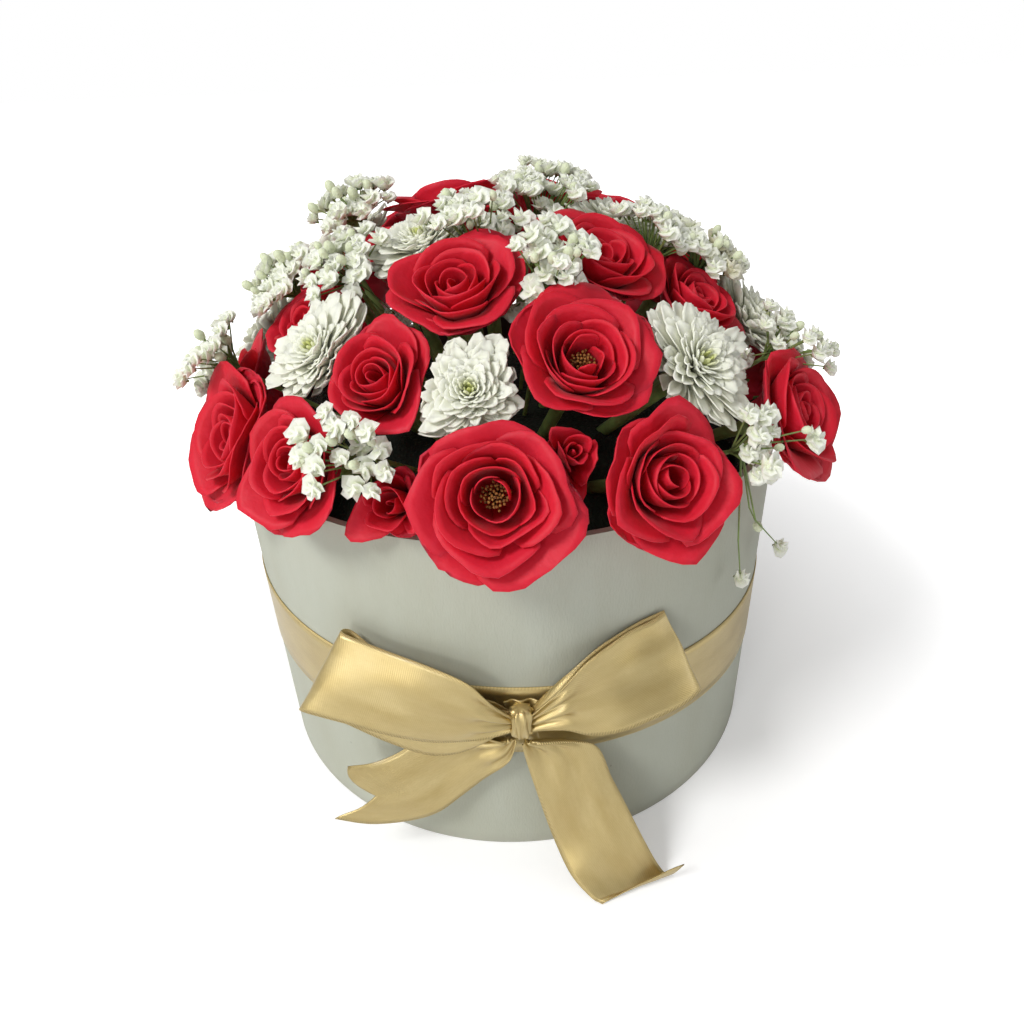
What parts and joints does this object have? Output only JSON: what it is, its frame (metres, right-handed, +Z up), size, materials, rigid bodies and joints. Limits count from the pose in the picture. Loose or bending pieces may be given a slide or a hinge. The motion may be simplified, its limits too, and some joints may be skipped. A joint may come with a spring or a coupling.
{
  "type": "flower box",
  "caption": "Round board drum with a satin bow, holding a dome of roses, chrysanthemums and gypsophila stuck into a wet foam block in a film liner.",
  "frame": {"origin": "centre of the base on the surface that the drum stands on", "axes": "+Z up along the axis of the drum, -Y towards the bow at the front, +X to the right seen from the front"},
  "size_m": [0.2442, 0.2639, 0.2329],
  "materials": {
    "board": "matte cream-grey paper wrap, faintly mottled",
    "lining_paper": "matte dark brown paper",
    "liner_film": "clear waterproof film",
    "floral_foam": "fine open-cell wet foam, matte",
    "satin_ribbon": "gold satin with a fine diagonal weave and woven edges",
    "rose_petal": "velvety crimson petals on a green stem",
    "chrysanthemum_petal": "white petals round a yellow-green centre on a green stem",
    "gypsophila": "small ruffled white florets on thin green branches"
  },
  "bodies": {
    "box": {"box_wall": "board", "box_base": "board", "box_lining": "lining_paper", "ribbon_band": "satin_ribbon", "bow_knot": "satin_ribbon", "bow_loop_left": "satin_ribbon", "bow_loop_right": "satin_ribbon", "bow_tail_left": "satin_ribbon", "bow_tail_right": "satin_ribbon"},
    "arrangement": {"liner_film": "liner_film", "floral_foam": "floral_foam"},
    "rose_01": {"rose_01": "rose_petal"},
    "rose_02": {"rose_02": "rose_petal"},
    "rose_03": {"rose_03": "rose_petal"},
    "rose_04": {"rose_04": "rose_petal"},
    "rose_05": {"rose_05": "rose_petal"},
    "rose_06": {"rose_06": "rose_petal"},
    "rose_07": {"rose_07": "rose_petal"},
    "rose_08": {"rose_08": "rose_petal"},
    "rose_09": {"rose_09": "rose_petal"},
    "rose_10": {"rose_10": "rose_petal"},
    "rose_11": {"rose_11": "rose_petal"},
    "rose_12": {"rose_12": "rose_petal"},
    "rose_13": {"rose_13": "rose_petal"},
    "rose_14": {"rose_14": "rose_petal"},
    "rose_15": {"rose_15": "rose_petal"},
    "rose_16": {"rose_16": "rose_petal"},
    "rose_17": {"rose_17": "rose_petal"},
    "rose_18": {"rose_18": "rose_petal"},
    "rose_19": {"rose_19": "rose_petal"},
    "rose_20": {"rose_20": "rose_petal"},
    "rose_21": {"rose_21": "rose_petal"},
    "rose_22": {"rose_22": "rose_petal"},
    "rose_23": {"rose_23": "rose_petal"},
    "rose_24": {"rose_24": "rose_petal"},
    "rose_25": {"rose_25": "rose_petal"},
    "rose_26": {"rose_26": "rose_petal"},
    "chrysanthemum_01": {"chrysanthemum_01": "chrysanthemum_petal"},
    "chrysanthemum_02": {"chrysanthemum_02": "chrysanthemum_petal"},
    "chrysanthemum_03": {"chrysanthemum_03": "chrysanthemum_petal"},
    "chrysanthemum_04": {"chrysanthemum_04": "chrysanthemum_petal"},
    "chrysanthemum_05": {"chrysanthemum_05": "chrysanthemum_petal"},
    "chrysanthemum_06": {"chrysanthemum_06": "chrysanthemum_petal"},
    "chrysanthemum_07": {"chrysanthemum_07": "chrysanthemum_petal"},
    "chrysanthemum_08": {"chrysanthemum_08": "chrysanthemum_petal"},
    "chrysanthemum_09": {"chrysanthemum_09": "chrysanthemum_petal"},
    "chrysanthemum_10": {"chrysanthemum_10": "chrysanthemum_petal"},
    "chrysanthemum_11": {"chrysanthemum_11": "chrysanthemum_petal"},
    "gypsophila_01": {"gypsophila_01": "gypsophila"},
    "gypsophila_02": {"gypsophila_02": "gypsophila"},
    "gypsophila_03": {"gypsophila_03": "gypsophila"},
    "gypsophila_04": {"gypsophila_04": "gypsophila"},
    "gypsophila_05": {"gypsophila_05": "gypsophila"},
    "gypsophila_06": {"gypsophila_06": "gypsophila"},
    "gypsophila_07": {"gypsophila_07": "gypsophila"},
    "gypsophila_08": {"gypsophila_08": "gypsophila"},
    "gypsophila_09": {"gypsophila_09": "gypsophila"},
    "gypsophila_10": {"gypsophila_10": "gypsophila"},
    "gypsophila_11": {"gypsophila_11": "gypsophila"},
    "gypsophila_12": {"gypsophila_12": "gypsophila"}
  },
  "joints": [
    {"name": "arrangement_lift", "type": "slide", "parent": "box", "child": "arrangement", "axis": [0, 0, 1], "range_m": [0, 0.15]},
    {"name": "rose_01_pull", "type": "slide", "parent": "arrangement", "child": "rose_01", "axis": [-0.0299, -0.8566, 0.515], "range_m": [0, 0.09]},
    {"name": "rose_02_pull", "type": "slide", "parent": "arrangement", "child": "rose_02", "axis": [0.3522, -0.7912, 0.5], "range_m": [0, 0.09]},
    {"name": "rose_03_pull", "type": "slide", "parent": "arrangement", "child": "rose_03", "axis": [0.1765, -0.6588, 0.7314], "range_m": [0, 0.09]},
    {"name": "rose_04_pull", "type": "slide", "parent": "arrangement", "child": "rose_04", "axis": [-0.2876, -0.646, 0.7071], "range_m": [0, 0.09]},
    {"name": "rose_05_pull", "type": "slide", "parent": "arrangement", "child": "rose_05", "axis": [-0.104, -0.4891, 0.866], "range_m": [0, 0.09]},
    {"name": "rose_06_pull", "type": "slide", "parent": "arrangement", "child": "rose_06", "axis": [0.2577, -0.3546, 0.8988], "range_m": [0, 0.09]},
    {"name": "rose_07_pull", "type": "slide", "parent": "arrangement", "child": "rose_07", "axis": [0.5277, -0.3171, 0.788], "range_m": [0, 0.09]},
    {"name": "rose_08_pull", "type": "slide", "parent": "arrangement", "child": "rose_08", "axis": [-0.6846, -0.5159, 0.515], "range_m": [0, 0.09]},
    {"name": "rose_09_pull", "type": "slide", "parent": "arrangement", "child": "rose_09", "axis": [-0.4864, -0.6947, 0.5299], "range_m": [0, 0.09]},
    {"name": "rose_10_pull", "type": "slide", "parent": "arrangement", "child": "rose_10", "axis": [0.718, -0.4843, 0.5], "range_m": [0, 0.09]},
    {"name": "rose_11_pull", "type": "slide", "parent": "arrangement", "child": "rose_11", "axis": [-0.0323, -0.0994, 0.9945], "range_m": [0, 0.09]},
    {"name": "rose_12_pull", "type": "slide", "parent": "arrangement", "child": "rose_12", "axis": [-0.3253, -0.1057, 0.9397], "range_m": [0, 0.09]},
    {"name": "rose_13_pull", "type": "slide", "parent": "arrangement", "child": "rose_13", "axis": [-0.5394, -0.3241, 0.7771], "range_m": [0, 0.09]},
    {"name": "rose_14_pull", "type": "slide", "parent": "arrangement", "child": "rose_14", "axis": [-0.5296, 0.0185, 0.848], "range_m": [0, 0.09]},
    {"name": "rose_15_pull", "type": "slide", "parent": "arrangement", "child": "rose_15", "axis": [0.5821, 0.0818, 0.809], "range_m": [0, 0.09]},
    {"name": "rose_16_pull", "type": "slide", "parent": "arrangement", "child": "rose_16", "axis": [-0.2847, -0.827, 0.4848], "range_m": [0, 0.09]},
    {"name": "rose_17_pull", "type": "slide", "parent": "arrangement", "child": "rose_17", "axis": [0.1544, -0.7942, 0.5878], "range_m": [0, 0.09]},
    {"name": "rose_18_pull", "type": "slide", "parent": "arrangement", "child": "rose_18", "axis": [0.8554, -0.1355, 0.5], "range_m": [0, 0.09]},
    {"name": "rose_19_pull", "type": "slide", "parent": "arrangement", "child": "rose_19", "axis": [0.5906, 0.6334, 0.5], "range_m": [0, 0.09]},
    {"name": "rose_20_pull", "type": "slide", "parent": "arrangement", "child": "rose_20", "axis": [0.2241, 0.8365, 0.5], "range_m": [0, 0.09]},
    {"name": "rose_21_pull", "type": "slide", "parent": "arrangement", "child": "rose_21", "axis": [-0.5682, 0.6536, 0.5], "range_m": [0, 0.09]},
    {"name": "rose_22_pull", "type": "slide", "parent": "arrangement", "child": "rose_22", "axis": [-0.8576, -0.1205, 0.5], "range_m": [0, 0.09]},
    {"name": "rose_23_pull", "type": "slide", "parent": "arrangement", "child": "rose_23", "axis": [0.4329, 0.4181, 0.7986], "range_m": [0, 0.09]},
    {"name": "rose_24_pull", "type": "slide", "parent": "arrangement", "child": "rose_24", "axis": [-0.2577, 0.5283, 0.809], "range_m": [0, 0.09]},
    {"name": "rose_25_pull", "type": "slide", "parent": "arrangement", "child": "rose_25", "axis": [0.1948, 0.1125, 0.9744], "range_m": [0, 0.09]},
    {"name": "rose_26_pull", "type": "slide", "parent": "arrangement", "child": "rose_26", "axis": [-0.1388, 0.1982, 0.9703], "range_m": [0, 0.09]},
    {"name": "chrysanthemum_01_pull", "type": "slide", "parent": "arrangement", "child": "chrysanthemum_01", "axis": [-0.4384, -0.5224, 0.7314], "range_m": [0, 0.09]},
    {"name": "chrysanthemum_02_pull", "type": "slide", "parent": "arrangement", "child": "chrysanthemum_02", "axis": [-0.0752, -0.7154, 0.6947], "range_m": [0, 0.09]},
    {"name": "chrysanthemum_03_pull", "type": "slide", "parent": "arrangement", "child": "chrysanthemum_03", "axis": [0.4603, -0.5684, 0.682], "range_m": [0, 0.09]},
    {"name": "chrysanthemum_04_pull", "type": "slide", "parent": "arrangement", "child": "chrysanthemum_04", "axis": [-0.201, -0.2767, 0.9397], "range_m": [0, 0.09]},
    {"name": "chrysanthemum_05_pull", "type": "slide", "parent": "arrangement", "child": "chrysanthemum_05", "axis": [0.3288, -0.0943, 0.9397], "range_m": [0, 0.09]},
    {"name": "chrysanthemum_06_pull", "type": "slide", "parent": "arrangement", "child": "chrysanthemum_06", "axis": [0.7211, -0.1798, 0.6691], "range_m": [0, 0.09]},
    {"name": "chrysanthemum_07_pull", "type": "slide", "parent": "arrangement", "child": "chrysanthemum_07", "axis": [0.8188, 0.282, 0.5], "range_m": [0, 0.09]},
    {"name": "chrysanthemum_08_pull", "type": "slide", "parent": "arrangement", "child": "chrysanthemum_08", "axis": [-0.1948, 0.8438, 0.5], "range_m": [0, 0.09]},
    {"name": "chrysanthemum_09_pull", "type": "slide", "parent": "arrangement", "child": "chrysanthemum_09", "axis": [-0.8085, 0.3104, 0.5], "range_m": [0, 0.09]},
    {"name": "chrysanthemum_10_pull", "type": "slide", "parent": "arrangement", "child": "chrysanthemum_10", "axis": [0.1021, 0.5789, 0.809], "range_m": [0, 0.09]},
    {"name": "chrysanthemum_11_pull", "type": "slide", "parent": "arrangement", "child": "chrysanthemum_11", "axis": [-0.5332, 0.3078, 0.788], "range_m": [0, 0.09]},
    {"name": "gypsophila_01_pull", "type": "slide", "parent": "arrangement", "child": "gypsophila_01", "axis": [-0.4017, 0.0636, 0.9135], "range_m": [0, 0.09]},
    {"name": "gypsophila_02_pull", "type": "slide", "parent": "arrangement", "child": "gypsophila_02", "axis": [-0.5755, -0.176, 0.7986], "range_m": [0, 0.09]},
    {"name": "gypsophila_03_pull", "type": "slide", "parent": "arrangement", "child": "gypsophila_03", "axis": [-0.383, -0.3214, 0.866], "range_m": [0, 0.09]},
    {"name": "gypsophila_04_pull", "type": "slide", "parent": "arrangement", "child": "gypsophila_04", "axis": [-0.0508, -0.2879, 0.9563], "range_m": [0, 0.09]},
    {"name": "gypsophila_05_pull", "type": "slide", "parent": "arrangement", "child": "gypsophila_05", "axis": [0.1173, -0.4704, 0.8746], "range_m": [0, 0.09]},
    {"name": "gypsophila_06_pull", "type": "slide", "parent": "arrangement", "child": "gypsophila_06", "axis": [0.1205, -0.0696, 0.9903], "range_m": [0, 0.09]},
    {"name": "gypsophila_07_pull", "type": "slide", "parent": "arrangement", "child": "gypsophila_07", "axis": [0.4145, -0.2204, 0.8829], "range_m": [0, 0.09]},
    {"name": "gypsophila_08_pull", "type": "slide", "parent": "arrangement", "child": "gypsophila_08", "axis": [0.5485, -0.1677, 0.8192], "range_m": [0, 0.09]},
    {"name": "gypsophila_09_pull", "type": "slide", "parent": "arrangement", "child": "gypsophila_09", "axis": [0.7021, -0.3577, 0.6157], "range_m": [0, 0.09]},
    {"name": "gypsophila_10_pull", "type": "slide", "parent": "arrangement", "child": "gypsophila_10", "axis": [-0.7357, -0.2824, 0.6157], "range_m": [0, 0.09]},
    {"name": "gypsophila_11_pull", "type": "slide", "parent": "arrangement", "child": "gypsophila_11", "axis": [-0.3332, -0.7483, 0.5736], "range_m": [0, 0.09]},
    {"name": "gypsophila_12_pull", "type": "slide", "parent": "arrangement", "child": "gypsophila_12", "axis": [0.5567, -0.6634, 0.5], "range_m": [0, 0.09]}
  ]
}
